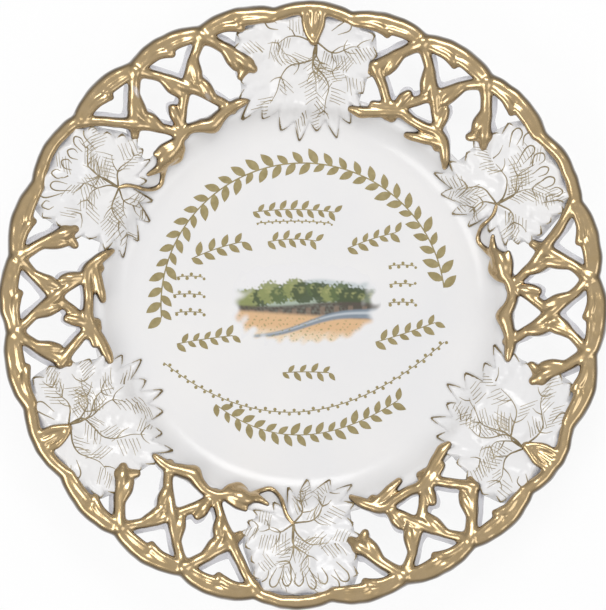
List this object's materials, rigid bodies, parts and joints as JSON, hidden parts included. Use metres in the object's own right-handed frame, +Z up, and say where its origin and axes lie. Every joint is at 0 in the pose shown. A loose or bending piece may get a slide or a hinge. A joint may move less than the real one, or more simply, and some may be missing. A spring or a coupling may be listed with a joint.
{
  "type": "seder plate",
  "caption": "Round porcelain plate with a flat well, a foot ring and a pierced rim of gilded vine twigs between white vine leaves, for setting out ceremonial foods.",
  "frame": {"origin": "on the plate's axis, on the plane its foot ring stands on", "axes": "+Z up along the plate's axis; +Y towards the hanging leaf at the top of the picture"},
  "size_m": [0.3208, 0.3208, 0.0397],
  "materials": {
    "white_porcelain": "glossy clear glaze over white porcelain",
    "gilded_porcelain": "fired bright gold over glazed porcelain"
  },
  "bodies": {
    "root": {"dish": "white_porcelain", "foot_ring": "white_porcelain", "rim_branch": "gilded_porcelain", "rising_leaf_1": "white_porcelain", "rising_leaf_2": "white_porcelain", "rising_leaf_3": "white_porcelain", "hanging_leaf_1": "white_porcelain", "hanging_leaf_2": "white_porcelain", "hanging_leaf_3": "white_porcelain", "rising_stem_1": "gilded_porcelain", "rising_stem_2": "gilded_porcelain", "rising_stem_3": "gilded_porcelain", "hanging_stem_1": "gilded_porcelain", "hanging_stem_2": "gilded_porcelain", "hanging_stem_3": "gilded_porcelain", "wide_shoulder_twig_1": "gilded_porcelain", "wide_shoulder_twig_2": "gilded_porcelain", "wide_shoulder_twig_3": "gilded_porcelain", "narrow_shoulder_twig_1": "gilded_porcelain", "narrow_shoulder_twig_2": "gilded_porcelain", "narrow_shoulder_twig_3": "gilded_porcelain", "wide_trellis_1": "gilded_porcelain", "wide_trellis_2": "gilded_porcelain", "wide_trellis_3": "gilded_porcelain", "narrow_trellis_1": "gilded_porcelain", "narrow_trellis_2": "gilded_porcelain", "narrow_trellis_3": "gilded_porcelain"}
  },
  "joints": []
}
